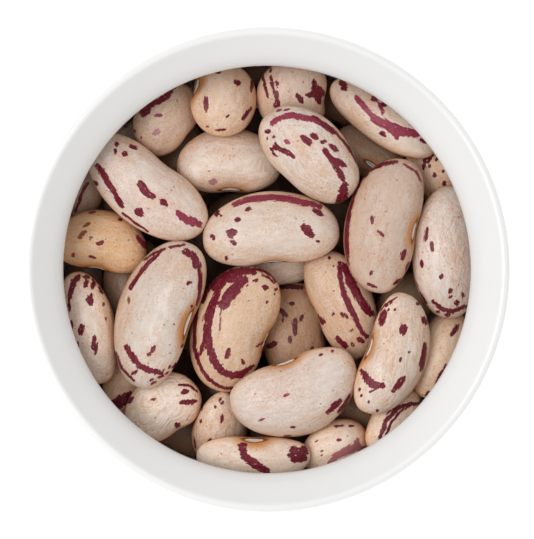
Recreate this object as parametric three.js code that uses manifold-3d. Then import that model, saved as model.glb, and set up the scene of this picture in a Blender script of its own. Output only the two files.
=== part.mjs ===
// A small white porcelain bowl, heaped with dried borlotti beans.
// Millimetres, +Z up. The bowl's foot stands on Z = 0, centred on the Z axis.
import * as THREE from 'three';
import { mergeVertices } from 'three/addons/utils/BufferGeometryUtils.js';
import Module from 'manifold-3d';

const wasm = await Module();
wasm.setup();

// ---- driving dimensions -------------------------------------------------------------------
const rimDiameter = 60;          // outside, across the lip
const bowlHeight = 29;
const lipThickness = 1.3;        // the lip is a full round of this thickness
const neckDepth = 4.4;           // from the rim down to the collar between the flare and the belly
const neckRadius = 25.4;         // inside
const waistRadius = 28.7;        // outside of the collar, where the wall is thickest
const bellyDepth = 10;           // from the rim down to the belly's widest circle
const bellyRadius = 27.3;        // inside
const wallThickness = 2;
const wellDepth = 24.5;          // from the rim down to the inside of the floor
const wellFloorDiameter = 17;
const floorThickness = 2.4;
const footDiameter = 30;         // outside of the foot ring
const footWidth = 2.4;           // flat underside of the ring, across
const fitGap = 0.3;              // clearance between the heap and the glaze
const bedDepth = 13;             // from the rim down to the packed bed that the beans lie on
const beanThickness = 0.8;       // of a bean, against its width
const beanBluntness = 0.85;      // 1 is an ellipsoid; less gives fuller, rounder ends
const hilumHollow = 0.12;        // how far the seed's eye dips in, against its half width

const bowlSides = 56;
const wallSteps = 6;             // of each of the wall's three bends
const beanRings = 10;
const beanSides = 12;

// ---- helpers ------------------------------------------------------------------------------
const radians = THREE.MathUtils.degToRad;

// A closed geometry as a manifold solid.
function solid(geometry) {
  const bare = geometry.index ? geometry.toNonIndexed() : geometry.clone();
  bare.deleteAttribute('normal');
  bare.deleteAttribute('uv');
  const merged = mergeVertices(bare, 1e-4);
  const mesh = new wasm.Mesh({
    numProp: 3,
    vertProperties: new Float32Array(merged.attributes.position.array),
    triVerts: new Uint32Array(merged.index.array),
  });
  mesh.merge();
  return new wasm.Manifold(mesh);
}

// A profile in the XZ plane, turned about the Z axis.
function turned(profile) {
  return solid(new THREE.LatheGeometry(profile, bowlSides).rotateX(Math.PI / 2));
}

// The outer skin of a solid: pockets that fusing has sealed are filled, loose crumbs dropped.
function outerSkin(body) {
  const mesh = body.getMesh();
  const owner = Array.from({ length: mesh.vertProperties.length / 3 }, (_, i) => i);
  const root = (i) => {
    while (owner[i] !== i) i = owner[i] = owner[owner[i]];
    return i;
  };
  for (let t = 0; t < mesh.triVerts.length; t += 3) {
    const first = root(mesh.triVerts[t]);
    owner[root(mesh.triVerts[t + 1])] = first;
    owner[root(mesh.triVerts[t + 2])] = first;
  }
  const shells = new Map();
  for (let t = 0; t < mesh.triVerts.length; t += 3) {
    const key = root(mesh.triVerts[t]);
    if (!shells.has(key)) shells.set(key, []);
    shells.get(key).push(...mesh.triVerts.slice(t, t + 3));
  }
  const largest = [...shells.values()].sort((a, b) => b.length - a.length)[0];
  const geometry = new THREE.BufferGeometry();
  geometry.setAttribute('position', new THREE.BufferAttribute(new Float32Array(mesh.vertProperties), 3));
  geometry.setIndex(largest);
  const skin = mergeVertices(geometry.toNonIndexed(), 1e-6);
  skin.computeVertexNormals();
  return skin;
}

// ---- bowl ---------------------------------------------------------------------------------
const rimRadius = rimDiameter / 2;
const floorLevel = bowlHeight - wellDepth;
const lipRadius = lipThickness / 2;
const lipEnd = rimRadius - lipRadius - lipRadius * Math.SQRT1_2;  // where the flare leaves the lip
const lipEndLevel = bowlHeight - lipRadius + lipRadius * Math.SQRT1_2;
const neckLevel = bowlHeight - neckDepth;
const bellyLevel = bowlHeight - bellyDepth;

// A smooth bend through four control points, each given as [radius, height].
function wallBend(...controls) {
  return new THREE.CubicBezierCurve(...controls.map(([r, z]) => new THREE.Vector2(r, z)));
}

// Points down the wall: a flare from the lip to the collar, a swell to the belly, and the belly.
function wallPoints(...bends) {
  return bends.flatMap((bend, i) => bend.getPoints(wallSteps).slice(i === 0 ? 0 : 1));
}

// The inside of the wall, set in from the glaze by a gap.
function insideWall(gap) {
  const neck = neckRadius - gap;
  const belly = bellyRadius - gap;
  const floor = floorLevel + gap;
  return wallPoints(
    wallBend(
      [lipEnd - gap, lipEndLevel],
      [lipEnd - gap - 1.9, lipEndLevel - 1.9],
      [neck, neckLevel + 1.1],
      [neck, neckLevel],
    ),
    wallBend([neck, neckLevel], [neck, neckLevel - 1.6], [belly, bellyLevel + 2.6], [belly, bellyLevel]),
    wallBend(
      [belly, bellyLevel],
      [belly, bellyLevel - 10],
      [belly - 1.8, floor],
      [wellFloorDiameter / 2, floor],
    ),
  );
}

function bowlProfile() {
  const footRadius = footDiameter / 2;
  const baseLevel = floorLevel - floorThickness;
  const belly = bellyRadius + wallThickness;
  const waistLevel = neckLevel - 0.8;
  const bellyBottom = bellyLevel - 0.4;
  const outsideWall = wallPoints(
    wallBend(
      [rimRadius, bowlHeight - lipRadius],
      [rimRadius - 0.1, bowlHeight - 2.6],
      [waistRadius, bowlHeight - 3.4],
      [waistRadius, waistLevel],
    ),
    wallBend(
      [waistRadius, waistLevel],
      [waistRadius, waistLevel - 2],
      [belly, bellyBottom + 2.4],
      [belly, bellyBottom],
    ),
    wallBend(
      [belly, bellyBottom],
      [belly, bellyBottom - 11.2],
      [belly - 5, baseLevel - 0.2],
      [footRadius, baseLevel - 0.2],
    ),
  );
  const lipSteps = 3;
  const lip = [];
  for (let i = 1; i < lipSteps; i += 1) {
    const turn = 0.75 * Math.PI * (1 - i / lipSteps);
    lip.push(new THREE.Vector2(
      rimRadius - lipRadius + lipRadius * Math.cos(turn),
      bowlHeight - lipRadius + lipRadius * Math.sin(turn),
    ));
  }
  const chamfer = 0.3;
  const ringInside = footRadius - 2 * chamfer - footWidth;
  const foot = [
    new THREE.Vector2(footRadius, chamfer),
    new THREE.Vector2(footRadius - chamfer, 0),
    new THREE.Vector2(ringInside + chamfer, 0),
    new THREE.Vector2(ringInside, chamfer),
    new THREE.Vector2(ringInside - 0.5, baseLevel),
  ];
  return [
    new THREE.Vector2(0, floorLevel),
    ...insideWall(0).reverse(),
    ...lip,
    ...outsideWall,
    ...foot,
    new THREE.Vector2(0, baseLevel),
  ];
}

function makeBowl() {
  const material = new THREE.MeshStandardMaterial({ color: 0xe6e6e4, roughness: 0.12, metalness: 0 });
  const bowl = new THREE.Mesh(outerSkin(turned(bowlProfile().reverse())), material);
  bowl.name = 'bowl';
  return bowl;
}

// ---- beans --------------------------------------------------------------------------------
// One bean lies along X, its back towards +Y and its eye towards -Y.
function beanGeometry(length, width, bend) {
  const positions = [];
  const index = [];
  const point = (ring, side) => {
    const along = Math.PI * ring / beanRings;
    const round = 2 * Math.PI * side / beanSides;
    const u = -Math.cos(along);
    const girth = Math.sin(along) ** beanBluntness;
    const eye = hilumHollow * Math.exp(-((u / 0.3) ** 2)) * Math.max(-Math.cos(round), 0) ** 1.5;
    return [
      length / 2 * u,
      width / 2 * girth * Math.cos(round) * (1 - eye) + bend * (0.33 - u * u),
      width / 2 * beanThickness * girth * Math.sin(round),
    ];
  };
  positions.push(...point(0, 0));
  for (let ring = 1; ring < beanRings; ring += 1) {
    for (let side = 0; side < beanSides; side += 1) positions.push(...point(ring, side));
  }
  positions.push(...point(beanRings, 0));
  const last = positions.length / 3 - 1;
  const at = (ring, side) => 1 + (ring - 1) * beanSides + side % beanSides;
  for (let side = 0; side < beanSides; side += 1) {
    index.push(0, at(1, side + 1), at(1, side));
    index.push(last, at(beanRings - 1, side), at(beanRings - 1, side + 1));
    for (let ring = 1; ring < beanRings - 1; ring += 1) {
      index.push(at(ring, side), at(ring, side + 1), at(ring + 1, side + 1));
      index.push(at(ring, side), at(ring + 1, side + 1), at(ring + 1, side));
    }
  }
  const geometry = new THREE.BufferGeometry();
  geometry.setAttribute('position', new THREE.Float32BufferAttribute(positions, 3));
  geometry.setIndex(index);
  return geometry;
}

// Where each bean of the heap's upper part lies: across, away and depth below the rim of its
// middle, the direction of its long axis, its length and width, how far it is rolled about
// that axis, how far its end is tipped up, and how much it is curved.
const beanPlaces = [
  // under the top ones
  [-18.0, 15.6, 16.8, 45, 9, 6.4, 30, 0, 0.8],
  [-17.6, -14.4, 16.2, 50, 9.4, 6.8, 0, 0, 0.8],
  [-23.0, 9.9, 15.4, 67, 9, 5, 80, 0, 0.4],
  [14.6, 14.8, 15.4, -25, 11.2, 7.2, -70, 0, 0.8],
  [1.2, 0.2, 15.4, 5, 10.5, 7, 10, 0, 0.8],
  [4.3, -7.7, 15.4, 93, 12.8, 9.0, 10, 0, 0.5],
  [21.1, 12.4, 12.6, -60, 8.6, 6.6, 60, 0, 0.5],
  [22.2, -11.2, 12.6, 62, 12.4, 7.0, 80, 0, 0.8],
  [16.4, -18.4, 13.0, 44, 11.6, 6.2, 85, 0, 0.8],
  [-13.0, 19.2, 12.8, 50, 10.0, 8.0, 35, 0, 0.5],
  [3.2, 22.4, 12.8, 95, 9.8, 9.4, 20, 15, 0.4],
  [-20.7, 3.3, 12.9, -14, 11.8, 8, -16, 0, 1.2],
  [-22.9, -7.5, 12, -83, 14.6, 8.2, 85, 0, 0.8],
  [-5.0, 13.8, 13.4, 3, 13.3, 8.6, -14, 0, 0.8],
  [-13.5, -18.4, 12.4, 32, 10.2, 8.2, 20, 6, 0.5],
  [-6.7, -20.2, 13.2, 76, 10.2, 7.6, 60, 30, 0.3],
  [9.3, -22.4, 12.6, 22, 9.0, 7.4, 75, 0, 0.5],
  [9.5, -4.3, 12.6, -67.6, 14.6, 7.9, 10, 0, 0.8],
  // on top
  [-4.0, -7.4, 10.8, 76, 16.5, 10.5, -12, 0, 0.8],
  [-15.3, 10.3, 9.8, 141, 17.8, 9.2, 10, 0, 0.6],
  [5.8, 14.2, 9.0, -51, 14.8, 9.7, 35, 0, 0.3],
  [22.6, 2.3, 10.8, 91, 16.8, 8.8, 20, 0, 0.6],
  [15.0, 19.3, 11.0, 147, 15.8, 7.6, 75, 0, 0.8],
  [-1.7, -24.1, 11.8, 181, 14.4, 6.4, -26, 0, 0.6],
  [-5.6, 21.9, 11.2, -100, 10, 8.6, -25, 24, 0.4],
  [0.2, 5.6, 10.2, 4.5, 17.3, 9.6, -8, 0, 0.9],
  [14.8, 5.7, 9.1, 80, 17.2, 9.8, -24, 0, 1.2],
  [-13.6, -5.5, 9.2, 73.5, 19.3, 10.4, -28, 0, 0.8],
  [3.6, -15.5, 9.4, 196, 16.6, 10.2, -16, 0, 1.4],
  [16.1, -11.0, 8.8, 252, 15.8, 8.2, -20, 0, 1.2],
];

function placedBean([across, away, depth, turn, length, width, roll, tip, bend]) {
  const geometry = beanGeometry(length, width, bend);
  geometry.rotateX(radians(roll));
  geometry.rotateY(-radians(tip));
  geometry.rotateZ(radians(turn));
  geometry.translate(across, away, bowlHeight - depth);
  return solid(geometry);
}

// The room inside the bowl, one fit gap clear of the glaze, filled up to a given depth below the rim.
function wellSolid(depth) {
  const top = bowlHeight - depth;
  const wall = insideWall(fitGap).filter(({ y }) => y < top).reverse();
  const level = [new THREE.Vector2(wall[wall.length - 1].x, top), new THREE.Vector2(0, top)];
  return turned([new THREE.Vector2(0, floorLevel + fitGap), ...wall, ...level]);
}

function makeBeans() {
  let heap = wellSolid(bedDepth);
  for (const place of beanPlaces) heap = heap.add(placedBean(place));
  const room = wellSolid(lipThickness);
  const material = new THREE.MeshStandardMaterial({ color: 0xdcc9b6, roughness: 0.45, metalness: 0 });
  const beans = new THREE.Mesh(outerSkin(heap.intersect(room)), material);
  beans.name = 'beans';
  return beans;
}

const bowlOfBeans = new THREE.Group();
bowlOfBeans.add(makeBowl(), makeBeans());
export default bowlOfBeans;
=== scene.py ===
import math

import bpy
import numpy as np
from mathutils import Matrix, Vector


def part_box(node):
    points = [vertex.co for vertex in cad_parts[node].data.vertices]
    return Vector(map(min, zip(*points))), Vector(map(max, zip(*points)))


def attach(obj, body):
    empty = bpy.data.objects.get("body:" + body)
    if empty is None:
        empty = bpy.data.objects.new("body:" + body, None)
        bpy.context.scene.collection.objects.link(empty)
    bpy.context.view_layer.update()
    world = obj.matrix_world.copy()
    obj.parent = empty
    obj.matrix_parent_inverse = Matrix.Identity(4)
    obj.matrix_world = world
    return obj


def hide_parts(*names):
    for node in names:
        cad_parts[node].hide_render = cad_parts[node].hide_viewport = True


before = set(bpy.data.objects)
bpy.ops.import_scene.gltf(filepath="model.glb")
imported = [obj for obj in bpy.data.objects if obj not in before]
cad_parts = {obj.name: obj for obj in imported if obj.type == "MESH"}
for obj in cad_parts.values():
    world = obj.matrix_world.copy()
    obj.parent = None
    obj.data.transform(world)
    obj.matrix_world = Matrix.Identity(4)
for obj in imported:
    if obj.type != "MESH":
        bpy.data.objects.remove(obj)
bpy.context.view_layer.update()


# ---- Porcelain bowl ------------------------------------------------------------------------
# A thrown porcelain bowl in clear glaze over a white body: a rounded lip, a flare, an upright
# belly and a turned foot ring, whose underside is wiped bare of glaze before the firing.
MM = 0.001  # sizes are in millimetres, and turned into metres where the meshes are made
bowl_low, bowl_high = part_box("bowl")
bowl_height = (bowl_high[2] - bowl_low[2]) / MM
rim_radius = (bowl_high[0] - bowl_low[0]) / 2 / MM
lip_thickness = 1.3
neck_depth = 4.4
neck_radius = 25.4
waist_radius = 28.7
belly_depth = 10.0
belly_radius = 27.3
wall_thickness = 2.0
well_depth = 24.5
well_floor_radius = 8.5
floor_thickness = 2.4
foot_radius = 15.0
foot_width = 2.4
foot_rounding = 0.35
bowl_turns = 224
glaze_white = (0.655, 0.655, 0.646)
thin_glaze = (0.635, 0.637, 0.632)
iron_speck = (0.62, 0.58, 0.52)
bare_clay = (0.80, 0.77, 0.72)


class Wire:
    """One output of a node, which stands in a formula as a number does."""

    def __init__(self, finish, socket):
        self.finish = finish
        self.socket = socket

    def _math(self, operation, first, second):
        return self.finish.node("ShaderNodeMath", {"operation": operation}, {0: first, 1: second})

    def __add__(self, other):
        return self._math("ADD", self, other)

    def __sub__(self, other):
        return self._math("SUBTRACT", self, other)

    def __rsub__(self, other):
        return self._math("SUBTRACT", other, self)

    def __mul__(self, other):
        return self._math("MULTIPLY", self, other)

    def __pow__(self, other):
        return self._math("POWER", self, other)

    __radd__ = __add__
    __rmul__ = __mul__

    def fade(self, start, end):
        """0 up to start, 1 from end on, and smooth between them."""
        settings = {"interpolation_type": "SMOOTHSTEP"}
        return self.finish.node("ShaderNodeMapRange", settings, {0: self, 1: start, 2: end})


class Finish:
    """A material that is put together node by node."""

    def __init__(self, name):
        self.material = bpy.data.materials.new(name)
        self.material.use_nodes = True
        self.tree = self.material.node_tree
        self.tree.nodes.clear()

    def node(self, kind, settings, sockets, out=0):
        """Adds a node: its settings come first, then the values or wires of its sockets."""
        made = self.tree.nodes.new(kind)
        for key, value in settings.items():
            setattr(made, key, value)
        for key, value in sockets.items():
            if isinstance(value, Wire):
                self.tree.links.new(value.socket, made.inputs[key])
            else:
                made.inputs[key].default_value = value
        return Wire(self, made.outputs[out])

    def mix(self, factor, first, second):
        """Blends two colours, each a wire or three numbers."""
        colours = [c if isinstance(c, Wire) else (*c, 1) for c in (first, second)]
        sockets = {0: factor, 6: colours[0], 7: colours[1]}
        return self.node("ShaderNodeMix", {"data_type": "RGBA"}, sockets, out=2)

    def scaled(self, vector, factors):
        return self.node("ShaderNodeVectorMath", {"operation": "MULTIPLY"}, {0: vector, 1: factors})

    def axis(self, vector, letter):
        return self.node("ShaderNodeSeparateXYZ", {}, {0: vector}, letter)

    def noise(self, vector, scale=1.0, detail=2.0, roughness=0.5):
        sockets = {"Vector": vector, "Scale": scale, "Detail": detail, "Roughness": roughness}
        return self.node("ShaderNodeTexNoise", {}, sockets)

    def bump(self, height, depth):
        sockets = {"Height": height, "Distance": depth, "Strength": 1.0}
        return self.node("ShaderNodeBump", {}, sockets)

    def surface(self, **sockets):
        """The shader, with underscores for the blanks in its sockets' names."""
        named = {key.replace("_", " "): value for key, value in sockets.items()}
        shader = self.node("ShaderNodeBsdfPrincipled", {}, named)
        output = self.tree.nodes.new("ShaderNodeOutputMaterial")
        self.tree.links.new(shader.socket, output.inputs["Surface"])
        return self.material


def cubic(points, steps):
    """A curve from four points, as (radius, height): its two ends, and the handles between."""
    t = np.linspace(0, 1, steps + 1)[:, None]
    weights = ((1 - t) ** 3, 3 * (1 - t) ** 2 * t, 3 * (1 - t) * t * t, t ** 3)
    return sum(w * np.array(p) for w, p in zip(weights, points))


def wall_curve(points, steps=26):
    """Three curves, end to end: from the lip to the collar, to the belly and to the base."""
    flare, swell, belly = (cubic(points[i:i + 4], steps) for i in (0, 3, 6))
    return np.vstack([flare, swell[1:], belly[1:]])


def inner_wall():
    """The inside of the wall, from the lip down to the floor."""
    neck_level = bowl_height - neck_depth
    belly_level = bowl_height - belly_depth
    floor_level = bowl_height - well_depth
    slant = lip_thickness / 2 * math.sqrt(0.5)
    lip_end = (rim_radius - lip_thickness / 2 - slant, bowl_height - lip_thickness / 2 + slant)
    return wall_curve([
        lip_end, (lip_end[0] - 1.9, lip_end[1] - 1.9), (neck_radius, neck_level + 1.1),
        (neck_radius, neck_level), (neck_radius, neck_level - 1.6),
        (belly_radius, belly_level + 2.6), (belly_radius, belly_level),
        (belly_radius, belly_level - 10), (belly_radius - 1.8, floor_level),
        (well_floor_radius, floor_level),
    ])


def outer_wall():
    """The outside of the wall, from the lip down to the foot."""
    waist_level = bowl_height - neck_depth - 0.8
    side_radius = belly_radius + wall_thickness
    side_level = bowl_height - belly_depth - 0.4
    base_level = bowl_height - well_depth - floor_thickness - 0.2
    return wall_curve([
        (rim_radius, bowl_height - lip_thickness / 2), (rim_radius - 0.1, bowl_height - 2.6),
        (waist_radius, bowl_height - 3.4), (waist_radius, waist_level),
        (waist_radius, waist_level - 2), (side_radius, side_level + 2.4),
        (side_radius, side_level), (side_radius, side_level - 11.2),
        (side_radius - 5, base_level), (foot_radius, base_level),
    ])


def round_corner(corner, before, after, radius, steps=4):
    """Points of a fillet where two straight edges of a profile meet."""
    corner, before, after = (np.array(p, float) for p in (corner, before, after))
    start = corner + (before - corner) / np.linalg.norm(before - corner) * radius
    end = corner + (after - corner) / np.linalg.norm(after - corner) * radius
    t = np.linspace(0, 1, steps + 1)[:, None]
    return (1 - t) ** 2 * start + 2 * (1 - t) * t * corner + t * t * end


def bowl_profile():
    """The bowl's section, from the middle of its floor over the lip to the middle underneath."""
    floor_level = bowl_height - well_depth
    base_level = floor_level - floor_thickness
    ring_inside = foot_radius - foot_width - 0.6
    lip_radius = lip_thickness / 2
    lip = [(rim_radius - lip_radius + lip_radius * math.cos(turn),
            bowl_height - lip_radius + lip_radius * math.sin(turn))
           for turn in np.linspace(0.75 * math.pi, 0, 11)[1:-1]]
    outside = outer_wall()[:-1]
    corners = (
        ((foot_radius, base_level - 0.2), outside[-1], (foot_radius, 0), foot_rounding),
        ((foot_radius, 0), (foot_radius, base_level), (0, 0), foot_rounding),
        ((ring_inside, 0), (foot_radius, 0), (ring_inside, base_level), foot_rounding),
        ((ring_inside - 0.4, base_level), (ring_inside, 0), (0, base_level), 0.5),
    )
    foot = np.vstack([round_corner(*corner) for corner in corners])
    middle_in = [(0, floor_level), (well_floor_radius / 2, floor_level)]
    middle_under = [(well_floor_radius / 2, base_level), (0, base_level)]
    return np.vstack([middle_in, inner_wall()[::-1], lip, outside, foot, middle_under])


def turned_mesh(name, profile, turns):
    """A profile from axis to axis, turned into a closed mesh."""
    middle = profile[1:-1]
    count = len(middle)
    around = np.linspace(0, 2 * math.pi, turns, endpoint=False)
    ring = np.stack([
        middle[:, 0] * np.cos(around)[:, None],
        middle[:, 0] * np.sin(around)[:, None],
        np.broadcast_to(middle[:, 1], (turns, count)),
    ], -1).reshape(-1, 3)
    points = np.vstack([ring, [(0, 0, profile[0][1])], [(0, 0, profile[-1][1])]]) * MM
    faces = []
    for i in range(turns):
        j = (i + 1) % turns
        faces += [(i * count + k, i * count + k + 1, j * count + k + 1, j * count + k)
                  for k in range(count - 1)]
        faces.append((len(points) - 2, i * count, j * count))
        faces.append((len(points) - 1, j * count + count - 1, i * count + count - 1))
    mesh = bpy.data.meshes.new(name)
    mesh.from_pydata(points.tolist(), [], faces)
    mesh.shade_smooth()
    return mesh


def glazed_porcelain():
    """White glaze with faint ripples and iron specks; the ring's tread is bare and gritty."""
    finish = Finish("glazed_porcelain")
    place = finish.node("ShaderNodeTexCoord", {}, {}, out="Object")
    bare = finish.axis(place, "Z").fade(0.35 * MM, 0.2 * MM)
    pooling = finish.noise(place, scale=45.0, detail=3.0)
    glaze = finish.mix(pooling.fade(0.3, 0.75), glaze_white, thin_glaze)
    speck = finish.noise(place, scale=900.0, detail=1.0).fade(0.74, 0.78)
    colour = finish.mix(bare, finish.mix(speck * 0.25, glaze, iron_speck), bare_clay)
    ripple = finish.noise(place, scale=160.0, detail=2.0)
    grit = finish.noise(place, scale=2500.0, detail=2.0)
    relief = ripple * (1 - bare) + grit * bare * 0.4
    return finish.surface(
        Base_Color=colour,
        Roughness=0.14 + pooling * 0.06 + bare * 0.6,
        Normal=finish.bump(relief, 0.00003),
        IOR=1.5,
    )


def put(name, data):
    """Puts a mesh, light or camera into the scene as an object."""
    made = bpy.data.objects.new(name, data)
    bpy.context.collection.objects.link(made)
    return made


bowl_mesh = turned_mesh("bowl", bowl_profile(), bowl_turns)
bowl_mesh.materials.append(glazed_porcelain())
bowl = put("porcelain_bowl", bowl_mesh)
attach(bowl, "root")
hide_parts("bowl")


# ---- Dried beans ---------------------------------------------------------------------------
# Dried borlotti beans: hard kidney-shaped seeds with a satin coat, cream to tan, splashed with
# maroon. On the hollow side of each is its eye, a white scar with a brown rim and an amber glow.
thickness_ratio = 0.8
bluntness = 0.85
bend_centre = 0.33
eye_hollow, eye_hollow_reach, eye_hollow_turn = 0.12, 0.3, 1.5
lump_heights = (0.04, 0.1)
eye_rim_height, eye_rim_at, eye_rim_width = 0.07, 1.25, 0.35
scar_depth, slit_depth, slit_half_width, slit_share = 0.06, 0.05, 0.09, 0.8
ring_spacing, side_spacing = 0.17, 0.098

# Painted light on the coat: warm light is painted on the flanks, and shade is painted where it
# curves under.
chart_brightness = 0.76
painted_flank_warmth, flank_from = (1.44, 1.12, 0.86), 0.9
painted_verge_shade, verge_from, verge_width = (0.72, 0.55, 0.4), 0.28, 0.24

# The marks are drawn as seen from this height above the rim, to scale at this depth below it.
viewing_height = 369.0
level_depth = 8.5

# Depths below the rim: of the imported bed, and where the lowest layer of beans starts and the
# top one ends.
bed_depth = 22.5
lowest_from = 16.3
top_to = 11.8


def paint(red, green, blue):
    """A linear colour from the 0 to 255 values of a paint chart seen in bright light."""
    return tuple(chart_brightness * ((c / 255 + 0.055) / 1.055) ** 2.4 for c in (red, green, blue))


INKS = {
    "wine": paint(108, 6, 34),
    "deep": paint(100, 4, 30),
    "rose": paint(142, 44, 68),
    "dusk": paint(84, 24, 34),
    "pink": paint(176, 108, 112),
    "blush": paint(176, 124, 130),
    "rust": paint(140, 78, 50),
}

usual_coat = paint(218, 200, 186)
beans = []


def bean(name, at, turn, size, roll=0, *, coat, tip=0, bend=0.8, taper=0.0, amber=0.4, veins=0.3,
         eye=(2.3, 0.66), **marks):
    """One bean: at is across, away and depth below the rim; size is length and width.

    Its marks are lists by ink, as seen from straight above. A mark is either a spot, which is
    (x, y, length, width, angle), or a stroke, which is (width, (x, y), (x, y), ...).
    """
    length, width = size
    beans.append(dict(
        name=name, number=len(beans), home=np.array((at[0], at[1], bowl_height - at[2]), float),
        turn=turn, roll=roll, tip=tip, form=(length, width, width * thickness_ratio, bend, taper),
        coat=paint(*coat), amber=amber, veins=veins, eye=eye, marks=marks,
    ))


# The beans deepest in the heap, of which little shows in the gaps.
# The dark coats in this list are painted shade: darker than these beans' own colour, as they lie
# deep in shadow.
for name, at, turn, size, roll, coat in (
    ("ee", (-11.0, 14.4, 16.9), 120, (10.5, 6.8), 0, (160, 128, 106)),
    ("de", (-19.2, 9.4, 16.6), 70, (9.5, 7), 20, (136, 106, 88)),
    ("fg", (-1.2, 23.9, 15.8), 0, (9, 5.4), 20, (110, 78, 60)),
    ("fr", (9.4, 21.0, 16.8), -26, (9.5, 5.8), 20, (130, 98, 78)),
    ("kk", (17.6, -5.4, 16.8), 60, (11.5, 7), 0, (178, 142, 116)),
    ("kl", (11.8, -18.2, 16.9), -30, (9.5, 6.6), 0, (162, 126, 100)),
    ("ll", (8.0, -12.4, 19.0), 140, (10.5, 6.4), 20, (120, 90, 72)),
    ("nn", (-8.4, -7.8, 19.0), 100, (11, 6.8), 60, (120, 88, 66)),
    ("op", (-5.2, -15.6, 19.0), 10, (9.5, 6.2), 10, (110, 78, 60)),
    ("xn", (0.8, -20.8, 17.6), 5, (9.5, 5.8), 10, (118, 86, 68)),
    ("gh", (-23.2, -1.0, 17.0), 88, (8.5, 5), 20, (118, 88, 70)),
    ("pp", (-4.4, 6.2, 19.2), 30, (11, 6.8), 20, (120, 92, 76)),
    ("qq", (-17.6, -1.6, 16.9), 80, (11.5, 7), 10, (162, 128, 103)),
    ("ss", (7.8, 4.2, 19.0), 70, (11, 6.8), 10, (120, 92, 74)),
):
    bean(name, at, turn, size, roll, coat=coat)
bean("dd", (-18.0, 15.6, 16.8), 45, (9, 6.4), 30, coat=(206, 186, 172),
     wine=[(-17.7, 18.0, 0.6, 0.3, 0)])
bean("gg", (7.6, 13.8, 17.8), 120, (11, 6.8), 20, coat=(208, 192, 180),
     wine=[(9.6, 17.8, 1.1, 0.4, -40)])
bean("ii", (17.2, 5.6, 18.0), 75, (11.4, 6.8), 60, coat=(204, 180, 164),
     wine=[(20.0, 9.5, 1.2, 0.4, 80), (19.6, 7.8, 0.6, 0.3, 80)])
# bb's coat is partly painted light: lighter than its own colour, to lift the shade it lies in.
bean("bb", (-17.6, -14.4, 16.2), 50, (9.4, 6.8), coat=(250, 208, 172), wine=[
    (1.4, (-19.6, -17.4), (-18.4, -16.6), (-16.9, -15.9)),
])
# oo's coat is painted shade too: darker than its own colour, as it lies deep in shadow.
bean("oo", (-11.0, -22.0, 15.8), -27, (9, 5.6), coat=(150, 118, 98),
     wine=[(-8.8, -23.8, 1.0, 0.6, 20)])

# The beans between those and the top ones.
bean("aa", (-23.0, 9.9, 15.4), 67, (9, 5), roll=80, bend=0.4, coat=(190, 160, 140), wine=[
    (0.4, (-24.9, 7.5), (-24.2, 9.5), (-23.2, 11.5)),
    (0.3, (-24.2, 7.2), (-23.4, 9.4), (-22.6, 11.0)),
])
bean("kb", (1.2, 0.2, 15.4), 5, (10.5, 7), roll=10, coat=(214, 196, 180),
     wine=[(0.7, 1.07, 1.3, 0.4, 10)])
# HH's coat is partly painted shade: darker than its own colour, as it lies in shadow.
bean("HH", (14.6, 14.8, 15.4), -25, (11.2, 7.2), roll=-70, coat=(180, 150, 128), amber=0.5,
     eye=(1.8, 0.5))
# L's coat is partly painted shade: darker than its own colour, as it lies low in shadow.
bean("L", (4.3, -7.7, 15.4), 93, (12.8, 9.0), roll=10, bend=0.5, coat=(184, 143, 112), dusk=[
    (0.6, (1.5, -2.26), (2.6, -2.1), (4.35, -2.26)),
    (1.5, -3.5, 0.35, 0.3, 0), (3.1, -4.3, 0.6, 0.5, 0), (2.0, -5.4, 1.6, 0.55, -40),
    (2.0, -6.4, 0.6, 0.3, 90), (3.5, -7.2, 2.3, 0.6, 92), (4.3, -6.1, 1.0, 0.4, 70),
    (2.86, -8.9, 0.8, 0.7, 90), (0.6, -9.5, 1.5, 0.6, 25), (5.7, -10.0, 0.65, 0.4, 90),
])
# T's coat is partly painted light: lighter than its own colour, to lift the shade it lies in.
bean("T", (21.1, 12.4, 12.6), -60, (8.6, 6.6), roll=60, bend=0.5, coat=(255, 216, 184), wine=[
    (0.4, (19.75, 12.7), (19.9, 13.8), (20.6, 14.7)), (0.35, (20.9, 14.4), (20.2, 13.5)),
    (20.45, 13.0, 0.5, 0.35, 60), (21.1, 11.9, 0.65, 0.5, 60), (22.3, 10.9, 0.7, 0.5, 60),
    (21.4, 13.9, 0.6, 0.3, 60), (22.2, 12.4, 0.5, 0.3, 60),
])
# U's coat is partly painted light: lighter than its own colour, to lift the shade it lies in.
bean("U", (22.2, -11.2, 12.6), 62, (12.4, 7.0), roll=80, coat=(253, 223, 192), wine=[
    (23.7, -7.66, 1.8, 0.5, 60), (22.5, -12.4, 1.0, 0.5, 80), (21.7, -13.85, 2.4, 0.65, 70),
    (20.2, -15.66, 0.65, 0.4, 60),
])
# V's coat is partly painted light: lighter than its own colour, to lift the shade it lies in.
bean("V", (16.4, -18.4, 13.0), 44, (11.6, 6.2), roll=85, coat=(248, 226, 206), wine=[
    (0.5, (14.2, -21.3), (14.98, -19.1), (16.4, -17.5), (17.8, -17.0), (19.1, -16.9)),
    (0.25, (14.7, -21.6), (15.6, -19.4), (16.9, -17.8), (17.9, -17.3)),
    (0.2, (15.0, -18.3), (16.5, -16.9)),
])
# B's coat is partly painted light: lighter than its own colour, to lift the shade it lies in.
bean("B", (-13.0, 19.2, 12.8), 50, (10.0, 8.0), roll=35, bend=0.5, coat=(212, 184, 162), wine=[
    (-15.35, 20.1, 1.75, 1.5, 60), (-14.5, 20.7, 0.8, 0.6, 40), (-9.4, 21.0, 0.8, 0.2, 80),
    (-15.8, 16.6, 0.3, 0.2, 0), (-16.7, 17.5, 0.4, 0.2, 110),
    (0.7, (-15.2, 21.4), (-13.8, 21.1), (-12.5, 22.0), (-11.7, 23.2)),
], rose=[(-13.7, 19.4, 0.95, 0.45, 5)], blush=[(-13.9, 17.3, 0.9, 0.7, 30)])
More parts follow.
